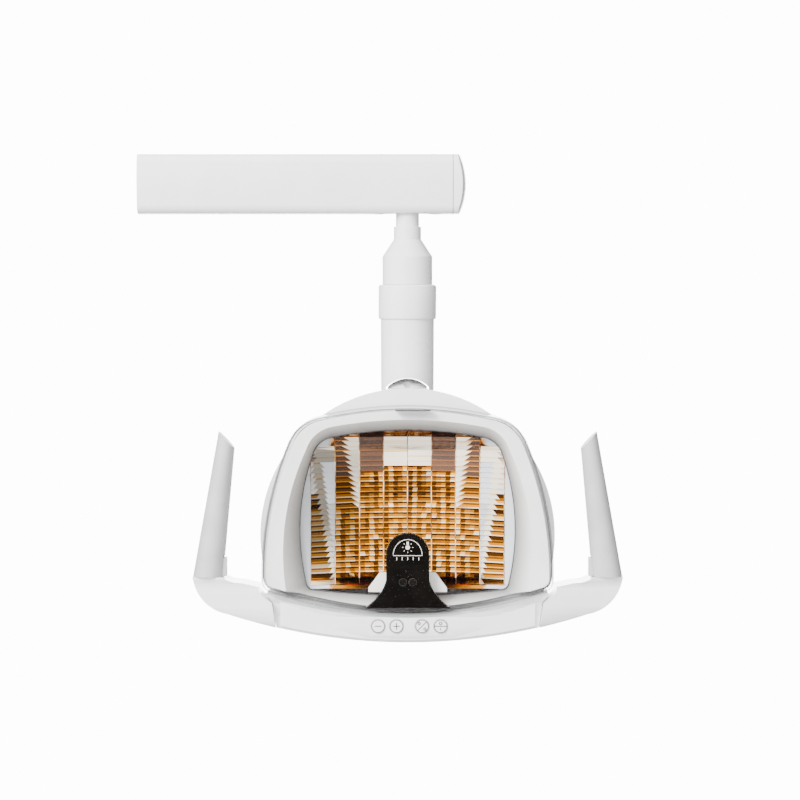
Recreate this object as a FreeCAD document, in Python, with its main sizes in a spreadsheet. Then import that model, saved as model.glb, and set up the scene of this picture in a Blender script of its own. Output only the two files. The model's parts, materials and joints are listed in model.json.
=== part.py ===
"""Ceiling-arm dental operating light: arm end, swivel neck, tilting lamp head and its loose pieces.

Frame in millimetres: the origin is the centre of the arm's root face, +X runs along the arm to the
neck, +Z is up and the lamp shines towards -Y.
"""
import FreeCAD, Part
import math
import os
import Sketcher
from FreeCAD import Placement, Rotation, Vector

SIZES = {
    # arm
    "arm_long": 312.5, "arm_high": 59.0, "arm_deep": 44.0, "arm_wall": 3.0, "arm_corner": 10.0,
    "cap_rim": 7.0, "cap_bulge": 6.5, "plug_long": 30.0, "bolt_across": 22.0, "bolt_up": 34.0,
    "bolt_bore": 2.5, "lead_bore": 8.0, "lead_thick": 3.0,
    # neck
    "neck_x": 267.4, "pin_thin": 11.6, "pin_thick": 13.65, "pin_hole": 7.0, "pin_top": 27.0,
    "pin_step": -42.0, "cone_top": -54.5, "cone_foot": -71.5, "cover_round": 25.0,
    "collar_top": -99.5, "collar_foot": -134.5, "collar_round": 29.0, "collar_bore": 25.3,
    "tube_round": 26.75, "fork_gap": 21.5, "fork_arch": 29.0, "run_fit": 0.05,
    # tilt joint
    "tilt_z": -221.0, "ball_round": 27.6, "ball_half": 19.5, "axle_round": 6.0, "well_round": 44.0,
    "well_half": 29.6,
    # lamp head
    "dome_y": -55.0, "dome_z": -344.0, "dome_round": 143.7, "dome_deep": 100.0, "dome_wall": 3.0,
    "belly_round": 556.0, "head_foot": -443.0,
    "glass_top": -216.6, "glass_foot": -417.0, "glass_half": 141.0, "glass_front": -112.0,
    "glass_wall": 2.6, "key_z": -426.2, "key_round": 6.9, "key_front": -112.4,
    # grips
    "grip_x": 191.6, "grip_foot": -379.0, "grip_y": -100.0, "grip_wide": 14.6, "grip_thick": 15.5,
    "grip_lean": 18.8, "grip_rise": 139.0, "post_rise": 46.0,
}

doc = FreeCAD.newDocument("dental_operating_light")
sheet = doc.addObject("Spreadsheet::Sheet", "Sizes")
for row, (alias, number) in enumerate(SIZES.items(), start=1):
    sheet.set(f"A{row}", alias)
    sheet.set(f"B{row}", str(number))
    sheet.setAlias(f"B{row}", alias)
doc.recompute()


class Dim:
    """A length together with the sheet formula that gives it."""

    def __init__(self, number, text):
        self.number = number
        self.text = text

    def __float__(self):
        return float(self.number)

    def joined(self, other, sign, number):
        return Dim(number, f"({self.text} {sign} {formula(other)})")

    def __add__(self, other):
        return self.joined(other, "+", self.number + float(other))

    def __radd__(self, other):
        return self + other

    def __rsub__(self, other):
        return -self + other

    def __rmul__(self, other):
        return self * other

    def __sub__(self, other):
        return self.joined(other, "-", self.number - float(other))

    def __mul__(self, other):
        return self.joined(other, "*", self.number * float(other))

    def __truediv__(self, other):
        return self.joined(other, "/", self.number / float(other))

    def __neg__(self):
        return Dim(-self.number, f"(0 - {self.text})")


def formula(value):
    return value.text if isinstance(value, Dim) else repr(float(value))


def size(alias):
    return Dim(float(sheet.get(alias)), f"Sizes.{alias}")


KEPT = {}


def bind(thing, prop, value):
    """Set a property, and tie it to the sheet when the value comes from there."""
    if isinstance(value, Dim):
        thing.setExpression(prop, value.text)
    else:
        setattr(thing, prop, value)


def place(thing, at, turn=None):
    """Put an object at a point whose coordinates may come from the sheet."""
    thing.Placement = Placement(Vector(*[float(c) for c in at]), turn or Rotation())
    for axis, value in zip("xyz", at):
        if isinstance(value, Dim):
            thing.setExpression(f"Placement.Base.{axis}", value.text)
    return thing


ALONG_X = Rotation(Vector(0, 1, 0), 90)
ALONG_Y = Rotation(Vector(1, 0, 0), 90)
UPRIGHT = Rotation()


def keep(thing, label):
    """Mark an object as a finished sub-part of the light."""
    thing.Label = label
    KEPT[label] = thing
    return thing


def box(low, high, turn=None):
    """A block between two corners."""
    block = doc.addObject("Part::Box", "block")
    for prop, start, end in zip(("Length", "Width", "Height"), low, high):
        bind(block, prop, end - start)
    return place(block, low, turn)


def rod(at, radius, length, turn=UPRIGHT):
    """A round bar that starts at a point and runs along its turned Z axis."""
    bar = doc.addObject("Part::Cylinder", "bar")
    bind(bar, "Radius", radius)
    bind(bar, "Height", length)
    return place(bar, at, turn)


def ball(at, radius):
    globe = doc.addObject("Part::Sphere", "globe")
    bind(globe, "Radius", radius)
    return place(globe, at)


def join(kind, *shapes):
    """Combine shapes: kind is Fuse or Common."""
    result = doc.addObject(f"Part::Multi{kind}", kind.lower())
    result.Shapes = list(shapes)
    return result


def cut(base, *tools):
    """Take the tools away from the base, one after another."""
    for tool in tools:
        result = doc.addObject("Part::Cut", "cut")
        result.Base = base
        result.Tool = tool
        base = result
    return base


def group(*shapes):
    """Identical separate pieces kept in one node."""
    result = doc.addObject("Part::Compound", "group")
    result.Links = list(shapes)
    return result


def plane_of(body, role):
    return next(part for part in body.Origin.OriginFeatures if part.Role == role)


def edge_between(start, end, radius):
    """One outline edge, and which of its ends is the start: straight, or an arc of signed radius."""
    if radius is None:
        return Part.LineSegment(start, end), 1, 2
    bend = abs(float(radius))
    chord = end - start
    left = Vector(-chord.y, chord.x, 0).normalize()
    reach = math.sqrt(max(bend ** 2 - (chord.Length / 2) ** 2, 0.0))
    side = 1 if float(radius) > 0 else -1
    centre = (start + end) * 0.5 + left * reach * side
    angles = [math.atan2(point.y - centre.y, point.x - centre.x) for point in (start, end)]
    first, last = angles if side > 0 else reversed(angles)
    arc = Part.ArcOfCircle(Part.Circle(centre, Vector(0, 0, 1), bend), first, last)
    return arc, (1 if side > 0 else 2), (2 if side > 0 else 1)


def outline(body, role, points, offset=0):
    """A closed sketch on one of the body's own planes.

    Each point is (x, y) or (x, y, radius). The radius bends the edge that leaves the point, to the
    left when it is positive.
    """
    drawing = body.newObject("Sketcher::SketchObject", "drawing")
    drawing.AttachmentSupport = [(plane_of(body, role), "")]
    drawing.MapMode = "FlatFace"
    drawing.AttachmentOffset = Placement(Vector(0, 0, float(offset)), Rotation())
    corners = [Vector(float(point[0]), float(point[1]), 0) for point in points]
    ends = []
    for index, point in enumerate(points):
        radius = point[2] if len(point) == 3 else None
        nxt = corners[(index + 1) % len(corners)]
        edge, first, last = edge_between(corners[index], nxt, radius)
        drawing.addGeometry(edge, False)
        ends.append((first, last))
    count = len(points)
    for index in range(count):
        follower = (index + 1) % count
        drawing.addConstraint(
            Sketcher.Constraint("Coincident", index, ends[index][1], follower, ends[follower][0]))
    for index, point in enumerate(points):
        for kind, value, axis in (("DistanceX", point[0], -2), ("DistanceY", point[1], -1)):
            if abs(float(value)) < 1e-9:
                drawing.addConstraint(Sketcher.Constraint("PointOnObject", index, ends[index][0], axis))
                continue
            number = drawing.addConstraint(
                Sketcher.Constraint(kind, -1, 1, index, ends[index][0], float(value)))
            if isinstance(value, Dim):
                drawing.setExpression(f"Constraints[{number}]", value.text)
        if len(point) == 3:
            bend = point[2] if float(point[2]) > 0 else -point[2]
            number = drawing.addConstraint(Sketcher.Constraint("Radius", index, float(bend)))
            if isinstance(bend, Dim):
                drawing.setExpression(f"Constraints[{number}]", bend.text)
    return drawing


def turned(profile, at=(0, 0, 0), turn=UPRIGHT):
    """A body turned about its Z axis from a profile of (radius, height) points."""
    body = doc.addObject("PartDesign::Body", "turned")
    drawing = outline(body, "XZ_Plane", profile)
    spun = body.newObject("PartDesign::Revolution", "spun")
    spun.Profile = drawing
    spun.ReferenceAxis = (drawing, ["V_Axis"])
    spun.Angle = 360
    return place(body, at, turn)


def slab(role, points, depth, at=(0, 0, 0), turn=UPRIGHT):
    """A body padded from an outline along its plane's normal (+Z, -Y or +X)."""
    body = doc.addObject("PartDesign::Body", "slab")
    drawing = outline(body, role, points)
    pad = body.newObject("PartDesign::Pad", "pad")
    pad.Profile = drawing
    bind(pad, "Length", depth)
    return place(body, at, turn)


def between(role, near, far, depth, at=(0, 0, 0)):
    """A body lofted from one outline to another a depth along the plane's normal."""
    body = doc.addObject("PartDesign::Body", "loft")
    first = outline(body, role, near)
    second = outline(body, role, far, depth)
    loft = body.newObject("PartDesign::AdditiveLoft", "loft")
    loft.Profile = first
    loft.Sections = [second]
    loft.Ruled = True
    return place(body, at)


NECK_X = size("neck_x")
HALF_DEEP = size("arm_deep") / 2
HALF_HIGH = size("arm_high") / 2
WALL = size("arm_wall")
ARM_END = size("arm_long")
TILT_Z = size("tilt_z")
FIT = size("run_fit")


def around(x, y, z):
    """A point given from the neck's axis."""
    return (NECK_X + x, y, z)


def arm_section(inset):
    """The arm's section in its YZ plane: rounded corners and gently bowed front and back."""
    corner = size("arm_corner") - inset
    deep = HALF_DEEP - inset
    high = HALF_HIGH - inset
    bow = 130.0
    return [
        (deep - corner, -high, corner), (deep, corner - high, bow),
        (deep, high - corner, corner), (deep - corner, high),
        (corner - deep, high, corner), (-deep, high - corner, bow),
        (-deep, corner - high, corner), (corner - deep, -high)]


BLOCK_HALF = 34.0
BLOCK_SCREWS = [(x, y) for x in (-26.0, 26.0) for y in (-9.0, 9.0)]
PIN_ROUND = size("pin_thin")
BUSH_ROUND = PIN_ROUND + 2.9
NUT_FOOT = 12.05
STOP_AT = 17.1
SEGMENT_Z = -120.0


def top_screw(x, y):
    """A countersunk screw through the arm's top wall into the pivot block."""
    head = doc.addObject("Part::Cone", "head")
    head.Radius1 = 2.5
    head.Radius2 = 5.0
    head.Height = 2.6
    place(head, around(x, y, HALF_HIGH - 2.6))
    shank = rod(around(x, y, HALF_HIGH - 20.0), 2.5, 17.4)
    socket = rod(around(x, y, HALF_HIGH - 1.6), 1.7, 4.0)
    return cut(join("Fuse", head, shank), socket)


def make_arm():
    screws = [top_screw(x, y) for x, y in BLOCK_SCREWS]
    keep(group(*screws), "pivot_block_screws")
    screw_room = []
    for x, y in BLOCK_SCREWS:
        cone = doc.addObject("Part::Cone", "sink")
        cone.Radius1 = 2.5
        cone.Radius2 = 5.0
        cone.Height = 2.6
        screw_room.append(place(cone, around(x, y, HALF_HIGH - 2.6)))
        screw_room.append(rod(around(x, y, HALF_HIGH - 20.0), 2.5, 22.0))

    brake_at = (NECK_X, 13.0, -19.0)
    opening = [rod(around(x, 0, -40), 16.0, 20.0) for x in (-18.0, 18.0)]
    opening.append(box((NECK_X - 18, -16.0, -40.0), (NECK_X + 18, 16.0, -20.0)))
    brake_room = rod((brake_at[0], 40.0, brake_at[2]), 4.0, 30.0, ALONG_Y)
    tube = cut(slab("YZ_Plane", arm_section(0), ARM_END),
               slab("YZ_Plane", arm_section(WALL), ARM_END),
               *opening, *screw_room, brake_room)
    keep(tube, "arm_tube")

    rim = slab("YZ_Plane", arm_section(0), size("cap_rim") + size("cap_bulge"), (ARM_END, 0, 0))
    bulge_round = 70.2
    bulge = ball((ARM_END + size("cap_rim") + size("cap_bulge") - bulge_round, 0, 0), bulge_round)
    spigot = cut(slab("YZ_Plane", arm_section(WALL), 8.0, (ARM_END - 8.0, 0, 0)),
                 slab("YZ_Plane", arm_section(WALL + 2.5), 8.0, (ARM_END - 8.0, 0, 0)))
    keep(join("Fuse", join("Common", rim, bulge), spigot), "arm_end_cap")

    plug = slab("YZ_Plane", arm_section(WALL), size("plug_long"))
    bolts = [rod((-1, side * float(size("bolt_across")) / 2, up * float(size("bolt_up")) / 2),
                 size("bolt_bore"), 40.0, ALONG_X)
             for side in (-1, 1) for up in (-1, 1)]
    for bolt, (side, up) in zip(bolts, [(s, u) for s in (-1, 1) for u in (-1, 1)]):
        bind(bolt, "Placement.Base.y", size("bolt_across") * side / 2)
        bind(bolt, "Placement.Base.z", size("bolt_up") * up / 2)
    keep(cut(plug, rod((-1, 0, 0), size("lead_bore"), 40.0, ALONG_X), *bolts), "arm_root_plug")

    block = slab("YZ_Plane", arm_section(WALL), 2 * BLOCK_HALF, (NECK_X - BLOCK_HALF, 0, 0))
    nut_room = rod(around(0, 0, 8), 19.2, 30.0)
    lead_room = box((NECK_X - BLOCK_HALF - 1, -5.0, 14.0), (NECK_X, 5.0, 30.0))
    stop_room = rod(around(STOP_AT, 0, 2), 1.8, 10.0)
    bore = rod(around(0, 0, -40), BUSH_ROUND, 80.0)
    keep(cut(block, nut_room, lead_room, stop_room, bore, *screw_room,
             rod((brake_at[0], 40.0, brake_at[2]), 4.0, 30.0, ALONG_Y)), "pivot_block")
    keep(rod(around(STOP_AT, 0, 2), 1.8, 15.0), "yaw_stop_pin")

    for label, foot, top, flange_foot in (("lower_bush", -26.5, -12.0, -28.5), ("upper_bush", -6.0, 8.0, 8.0)):
        sleeve = rod(around(0, 0, foot), BUSH_ROUND, top - foot)
        flange = rod(around(0, 0, flange_foot), BUSH_ROUND + 0.6, 2.0)
        keep(cut(join("Fuse", sleeve, flange), rod(around(0, 0, -40), PIN_ROUND + FIT, 80.0)), label)
    keep(cut(rod(around(0, 0, 10), 15.0, 2.0), rod(around(0, 0, 0), PIN_ROUND + FIT, 30.0)), "thrust_washer")

    brake = cut(rod((brake_at[0], HALF_DEEP - 0.6, brake_at[2]), 4.0, HALF_DEEP - 0.6 - BUSH_ROUND - 0.1, ALONG_Y),
                rod((brake_at[0], HALF_DEEP + 2, brake_at[2]), 2.0, 5.0, ALONG_Y))
    keep(brake, "yaw_brake_screw")


def make_arm_lead():
    """The supply lead: along the arm, over the block and down into the hollow pin."""
    bend = 9.0
    high = 23.5
    start = Vector(0, 0, 0)
    rise_from = Vector(150, 0, 0)
    rise_to = Vector(float(NECK_X) - 45, 0, high)
    over = Vector(float(NECK_X), 0, high)
    foot = Vector(float(NECK_X), 0, -10)
    keep(lead([start, rise_from, rise_to, over, foot], [60.0, 60.0, bend]), "arm_lead")


def lead(points, bends, thick=None):
    """A round lead along straight runs joined by tangent arcs."""
    radius = float(thick or size("lead_thick")) / 2 + 0.9
    edges = []
    here = points[0]
    for before, corner, after, bend in zip(points, points[1:], points[2:], bends):
        arrive = (corner - before).normalize()
        leave = (after - corner).normalize()
        turn = arrive.getAngle(leave)
        reach = bend * math.tan(turn / 2)
        first = corner - arrive * reach
        last = corner + leave * reach
        inward = (leave - arrive).normalize()
        middle = corner + inward * (bend / math.cos(turn / 2) - bend)
        edges.append(Part.LineSegment(here, first).toShape())
        edges.append(Part.Arc(first, middle, last).toShape())
        here = last
    edges.append(Part.LineSegment(here, points[-1]).toShape())
    path = Part.Wire(edges)
    direction = (points[1] - points[0]).normalize()
    ring = Part.Wire([Part.Circle(points[0], direction, radius).toShape()])
    holder = doc.addObject("Part::Feature", "lead")
    holder.Shape = path.makePipeShell([ring], True, False)
    return holder


def make_neck():
    thick = size("pin_thick")
    hole = size("pin_hole")
    groove_top, groove_foot = SEGMENT_Z + 2.0, SEGMENT_Z - 2.0
    keep(turned([(hole, 20.0), (PIN_ROUND, 20.0), (PIN_ROUND, size("pin_step")),
                 (thick, size("pin_step")), (thick, -98.0), (11.0, -98.0), (11.0, groove_top),
                 (9.0, groove_top), (9.0, groove_foot), (11.0, groove_foot), (11.0, -130.0),
                 (hole, -130.0)], around(0, 0, 0)), "neck_pin")

    nut = rod(around(0, 0, NUT_FOOT), 14.8, 7.0)
    lug = box((NECK_X - 18.6, -2.5, NUT_FOOT), (NECK_X - 13, 2.5, NUT_FOOT + 7.0))
    keep(cut(join("Fuse", nut, lug), rod(around(0, 0, 0), PIN_ROUND, 30.0)), "pin_nut")

    cover = size("cover_round")
    skin = 2.5
    keep(turned([(thick, size("cone_top")), (cover, size("cone_foot")), (cover, size("collar_top")),
                 (cover - skin, size("collar_top")), (cover - skin, size("cone_foot") - 1.4),
                 (thick, size("cone_top") - 5.0)], around(0, 0, 0)), "neck_upper_cover")

    round_tube = size("tube_round")
    neck = 24.9
    tube = turned([(11.0, size("collar_top") - 0.7), (neck, size("collar_top") - 0.7),
                   (neck, size("collar_foot")), (round_tube, size("collar_foot")),
                   (round_tube - 0.5, TILT_Z - 15.0), (21.0, TILT_Z - 15.0), (21.0, -140.0),
                   (11.0, -130.0)], around(0, 0, 0))
    gap = size("fork_gap")
    arch = join("Common", rod(around(0, 40, TILT_Z), size("fork_arch"), 80.0, ALONG_Y),
                box((NECK_X - gap, -40.0, TILT_Z - 40), (NECK_X + gap, 40.0, TILT_Z + 40)))
    jaws = box((NECK_X - gap, -40.0, TILT_Z - 40), (NECK_X + gap, 40.0, TILT_Z + 0))
    axle = size("axle_round")
    slot = join("Common", rod(around(0, 0, SEGMENT_Z - 2), 26.0, 4.0),
                box((NECK_X - 30, -30.0, SEGMENT_Z - 3), (NECK_X + 30, 9.0, SEGMENT_Z + 3)))
    keep(cut(tube, arch, jaws, rod(around(-30, 0, TILT_Z), axle, 60.0, ALONG_X), slot), "neck_fork_tube")

    ring = cut(rod(around(0, 0, SEGMENT_Z - 2), 24.6, 4.0),
               rod(around(0, 0, SEGMENT_Z - 3), 9.0, 6.0),
               box((NECK_X - 9.0, 0.0, SEGMENT_Z - 3), (NECK_X + 9.0, 30.0, SEGMENT_Z + 3)),
               box((NECK_X - 30, 8.8, SEGMENT_Z - 3), (NECK_X + 30, 30.0, SEGMENT_Z + 3)))
    keep(ring, "retaining_segment")

    foot, top = size("collar_foot"), size("collar_top")
    lip = 1.6
    keep(turned([(size("collar_bore"), foot), (size("collar_round") - lip, foot),
                 (size("collar_round"), foot + lip, ), (size("collar_round"), top - lip),
                 (size("collar_round") - lip, top), (size("collar_bore"), top)],
                around(0, 0, 0)), "collar")

    half = 24.5
    screw = 3.0
    keep(cut(rod(around(-half, 0, TILT_Z), axle, 2 * half, ALONG_X),
             rod(around(-half - 1, 0, TILT_Z), screw, 13.0, ALONG_X),
             rod(around(half - 12, 0, TILT_Z), screw, 13.0, ALONG_X)), "tilt_axle")
    screws = []
    for side in (-1, 1):
        start = 26.4 if side > 0 else -28.6
        inner = 12.5 if side > 0 else -26.4
        head = rod(around(start, 0, TILT_Z), 8.0, 2.2, ALONG_X)
        shank = rod(around(inner, 0, TILT_Z), screw, 13.9, ALONG_X)
        socket = rod(around(27.4 if side > 0 else -29.4, 0, TILT_Z), 2.5, 2.0, ALONG_X)
        screws.append(cut(join("Fuse", head, shank), socket))
    keep(group(*screws), "axle_screws")
    discs = []
    for start in (-21.4, 19.6):
        discs.append(cut(rod(around(start, 0, TILT_Z), 13.0, 1.8, ALONG_X),
                         rod(around(start - 1, 0, TILT_Z), axle, 4.0, ALONG_X)))
    keep(group(*discs), "friction_discs")
    keep(lead([Vector(float(NECK_X), 0, -10.5), Vector(float(NECK_X), 0, -188.0)], []), "neck_lead")


GLASS_TOP = size("glass_top")
GLASS_FOOT = size("glass_foot")
GLASS_HALF = size("glass_half")
BELLY = size("belly_round")
FRONT_FRAME = -90.0
BACK_FRAME = -66.0


def glass_outline(inset):
    """Front outline of the clear shield: gently arched top, round shoulders, bowed foot."""
    half = GLASS_HALF - inset
    foot_z = GLASS_FOOT + 21.0 + inset
    side_z = GLASS_FOOT + 29.0 + inset
    low_shoulder = (half - 25.5, GLASS_TOP - 36.3 - 0.4 * inset)
    high_shoulder = (half - 52.6 + 0.75 * inset, GLASS_TOP - 10.9 - inset)
    return [
        (-half + 6, foot_z, 444.0), (half - 6, foot_z, 9.0), (half, side_z, 333.0),
        (*low_shoulder, 42.0 - inset), (*high_shoulder, 365.0),
        (-high_shoulder[0], high_shoulder[1], 42.0 - inset), (-low_shoulder[0], low_shoulder[1], 333.0),
        (-half, side_z, 9.0)]


def window(low, foot, high, top, shoulder, side_round):
    """An opening of the bezel: widths low down and at the shoulder, and the shoulder's run and drop."""
    run, drop = shoulder
    crown = high - run
    corner_round = run * 1.35
    crown_round = (crown ** 2 + 49) / 14
    return [
        (-low + 5, foot, 800.0), (low - 5, foot, 9.0), (low, foot + 8, side_round),
        (high, top - drop, corner_round), (crown, top - 7, crown_round), (-crown, top - 7, corner_round),
        (-high, top - drop, side_round), (-low, foot + 8, 9.0)]


def belly(x):
    """Height of the head's bowed underside at a distance from the middle."""
    round_under = float(BELLY)
    return size("head_foot") + (round_under - math.sqrt(round_under ** 2 - x ** 2))


def chin_outline(lift=0.0):
    """The lower cover's front outline; lift raises its bowed foot."""
    return [
        (-126.0, belly(126.0) + lift, BELLY), (126.0, belly(126.0) + lift), (129.5, GLASS_FOOT + 12.6),
        (GLASS_HALF - 5.2, GLASS_FOOT + 20.0, -445.0), (-GLASS_HALF + 5.2, GLASS_FOOT + 20.0),
        (-129.5, GLASS_FOOT + 12.6)]


def arm_outline():
    """The right handle arm, from its seam with the chin out to the seat of the grip."""
    seat = size("grip_foot")
    out = size("grip_x")
    return [
        (126.5, belly(126.5), BELLY), (173.5, belly(173.5), 40.0), (out + 12.4, seat - 10.0, 60.0),
        (out + 14.9, seat - 0.3), (out - 14.6, seat - 0.3, -30.0), (out - 33.0, seat - 5.5),
        (GLASS_HALF + 1.0, seat - 9.3, -10.0), (GLASS_HALF - 4.6, seat - 20.0), (130.0, GLASS_FOOT + 12.6)]


def pod_outline(inset):
    half = 20.8 - inset
    return [
        (-41.3 + inset, -410.8 + inset), (41.3 - inset, -410.8 + inset, -45.0), (half, -383.6),
        (half, -359.0, half), (0, -359.0 + half, half), (-half, -359.0), (-half, -383.6, -45.0)]


def head_slab(points, front, back):
    """A head piece padded forwards, from its back plane to its front plane."""
    return slab("XZ_Plane", points, back - front, around(0, back, 0))


def dome(inset):
    """The domed back turned about its own Y axis, with its belly cut to the bowed underside.

    The inset form is the room inside the wall; it stops short of the front by the same wall.
    """
    wide, deep = size("dome_round"), size("dome_deep")
    flank = wide * 0.46
    reach = wide - flank
    crown = (reach * reach + deep * deep - flank * flank) / ((deep - flank) * 2)
    sink = crown - deep
    apart = crown - flank
    join_x = reach / apart * (crown - inset)
    join_y = sink / apart * (crown - inset) - sink
    rim = BACK_FRAME - float(size("dome_y")) + float(inset)
    profile = [
        (0, rim), (wide - inset, rim), (wide - inset, 0, flank - inset),
        (join_x, join_y, crown - inset), (0, deep - inset)]
    shape = turned(profile, around(0, size("dome_y"), size("dome_z")), Rotation(Vector(1, 0, 0), -90))
    under = rod(around(0, 200, size("head_foot") + BELLY), BELLY - inset, 400.0, ALONG_Y)
    return join("Common", shape, under)


def make_rear_shell():
    wall = size("dome_wall")
    back = -50.0
    outer = join("Fuse", dome(0), head_slab(glass_outline(0.6), BACK_FRAME, back),
                 head_slab(chin_outline(0.5), BACK_FRAME, back - 0.5))
    chin_room = join("Common", head_slab(chin_outline(), BACK_FRAME - 1, back - 3.0),
                     box((NECK_X - 122, -90.0, -430.0), (NECK_X + 122, 0.0, -390.0)))
    inner = [dome(wall), head_slab(glass_outline(3.6), BACK_FRAME - 1, back - 3.0), chin_room]
    well = size("well_half")
    well_room = rod(around(-well - 2.5, 0, TILT_Z), size("well_round") + 2.5, 2 * well + 5, ALONG_X)
    vents = [box((NECK_X - 34, 10.0, z), (NECK_X + 34, 80.0, z + 3.2)) for z in range(-330, -285, 8)]
    screws = [rod(around(x, 60, -384), 4.1, 40.0, ALONG_Y) for x in (-40, 40)]
    keep(cut(outer, *inner, well_room, *vents, *screws), "rear_shell")

    cup = join("Common", rod(around(-well - 2.5, 0, TILT_Z), size("well_round") + 2.5, 2 * well + 5, ALONG_X),
               dome(0))
    hollow = rod(around(-well, 0, TILT_Z), size("well_round"), 2 * well, ALONG_X)
    stem_room = box((NECK_X - 14.2, -11.2, -300.0), (NECK_X + 14.2, 9.2, -240.0))
    lead_room = rod(around(0, -16, -300), 4.0, 60.0)
    keep(cut(cup, hollow, stem_room, lead_room), "pivot_well")


def make_knuckle():
    half = size("ball_half")
    globe = join("Common", ball(around(0, 0, TILT_Z), size("ball_round")),
                 box((NECK_X - half, -40.0, -260.0), (NECK_X + half, 40.0, -180.0)))
    stem = box((NECK_X - 14, -11.0, -300.0), (NECK_X + 14, 9.0, -238.0))
    bush = size("axle_round") + 3
    lead_room = rod(around(0, -16, -260), 4.0, 80.0)
    taps = [rod(around(0, 20, z), 2.5, 40.0, ALONG_Y) for z in (-290, -276)]
    keep(cut(join("Fuse", globe, stem), rod(around(-40, 0, TILT_Z), bush, 80.0, ALONG_X), lead_room, *taps),
         "tilt_knuckle")
    bushes = []
    for start in (-19.5, 7.5):
        bushes.append(cut(rod(around(start, 0, TILT_Z), bush, 12.0, ALONG_X),
                          rod(around(start - 1, 0, TILT_Z), size("axle_round") + FIT, 14.0, ALONG_X)))
    keep(group(*bushes), "axle_bushes")


def socket_screw(at, shank, head_long, shank_long, turn):
    """A cap screw whose head starts at a point and whose shank runs on from it."""
    head = rod(at, shank * 1.8, head_long, turn)
    axis = turn.multVec(Vector(0, 0, 1))
    under = [c + float(axis[i]) * head_long if axis[i] else c for i, c in enumerate(at)]
    body = join("Fuse", head, rod(under, shank, shank_long, turn))
    key = rod([c - float(axis[i]) if axis[i] else c for i, c in enumerate(at)], shank * 0.9, 2.4, turn)
    return cut(body, key)


def make_chassis():
    plate = join("Fuse", box((NECK_X - 50, -14.0, -395.0), (NECK_X + 50, -11.0, -270.0)),
                 box((NECK_X - 119, -14.0, -356.0), (NECK_X + 119, -11.0, -334.0)))
    holes = [rod(around(0, 20, z), 2.5, 40.0, ALONG_Y) for z in (-290, -276)]
    holes += [rod(around(x, 20, -345), 2.0, 40.0, ALONG_Y) for x in (-114, 114)]
    holes += [rod(around(x, 20, -384), 2.0, 40.0, ALONG_Y) for x in (-40, 40)]
    keep(cut(plate, *holes), "chassis_plate")
    keep(group(*[socket_screw(around(0, 13.5, z), 2.5, 4.5, 23.0, ALONG_Y) for z in (-290, -276)]),
         "knuckle_screws")
    keep(group(*[cut(rod(around(x, -14, -345), 4.5, 52.0, ALONG_Y), rod(around(x, -13, -345), 2.0, 15.0, ALONG_Y))
                 for x in (-114, 114)]), "frame_posts")
    keep(group(*[socket_screw(around(x, -7.5, -345), 2.0, 3.5, 15.0, ALONG_Y) for x in (-114, 114)]),
         "frame_screws")
    keep(group(*[cut(rod(around(x, 28, -384), 5.5, 39.0, ALONG_Y), rod(around(x, 30, -384), 2.0, 45.0, ALONG_Y))
                 for x in (-40, 40)]), "rear_standoffs")
    keep(group(*[socket_screw(around(x, 36.5, -384), 2.0, 4.0, 42.0, ALONG_Y) for x in (-40, 40)]),
         "rear_screws")


def make_reflector():
    """A bowl of eight upright facets, deepest behind the lamp."""
    levels = [(-397.0, 97.0), (-385.0, 103.0), (-352.0, 106.0), (-318.0, 105.0), (-285.0, 101.0),
              (-262.0, 94.0), (-249.0, 84.0), (-241.0, 70.0)]
    rim_y, deepest, sheet_thick = -62.0, 38.0, 1.4
    wires = []
    for z, half in levels:
        depth = 2.0 + deepest * math.sqrt(max(1 - ((z + 319) / 78.5) ** 2, 0))
        front = [Vector(half * i / 4, rim_y + depth * (1 - (i / 4) ** 2), z) for i in range(-4, 5)]
        back = [point + Vector(0, sheet_thick, 0) for point in reversed(front)]
        wires.append(Part.makePolygon(front + back + front[:1]))
    bowl = doc.addObject("Part::Feature", "bowl")
    bowl.Shape = Part.makeLoft(wires, True, True)
    keep(place(bowl, around(0, 0, 0)), "reflector")


def make_bezel():
    outer = head_slab(glass_outline(4.2), FRONT_FRAME, BACK_FRAME)
    near = window(99.5, -397.5, 91.7, -240.5, (18.4, 21.5), 225.0)
    far = window(117.5, -404.0, 98.2, -229.5, (24.2, 29.5), 238.0)
    funnel = between("XZ_Plane", near, far, BACK_FRAME - FRONT_FRAME, around(0, BACK_FRAME, 0))
    keep(cut(outer, funnel), "bezel")


def glass_body(inset, back):
    """The shield's solid: its outline taken forwards to a slightly domed face."""
    front = size("glass_front") + inset
    crown = 700.0
    face = ball(around(0, front + crown, -320.0), crown)
    return join("Common", head_slab(glass_outline(inset), front, back), face)


def make_glass():
    keep(cut(glass_body(0, BACK_FRAME - 0.4), glass_body(size("glass_wall"), BACK_FRAME + 2)), "clear_shield")


def make_pod():
    panel_back, panel_front = -97.0, -99.4
    eyes_at = [(-4.7, -385.5), (4.7, -385.5)]
    eye = 3.5
    holes = [rod(around(x, -90, z), eye, 20.0, ALONG_Y) for x, z in eyes_at]
    keep(cut(head_slab(pod_outline(0), panel_front, panel_back), *holes), "pod_panel")
    holes = [rod(around(x, -90, z), eye, 20.0, ALONG_Y) for x, z in eyes_at]
    shell = cut(head_slab(pod_outline(0), panel_back, -90.2), head_slab(pod_outline(1.8), panel_back - 1, -91.8))
    keep(shell, "pod_housing")
    keep(group(*[rod(around(x, -95.0, z), eye, 4.9, ALONG_Y) for x, z in eyes_at]), "sensor_eyes")
    keep(box((NECK_X - 15, -95.0, -396.0), (NECK_X + 15, -93.4, -362.0)), "sensor_board")


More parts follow.
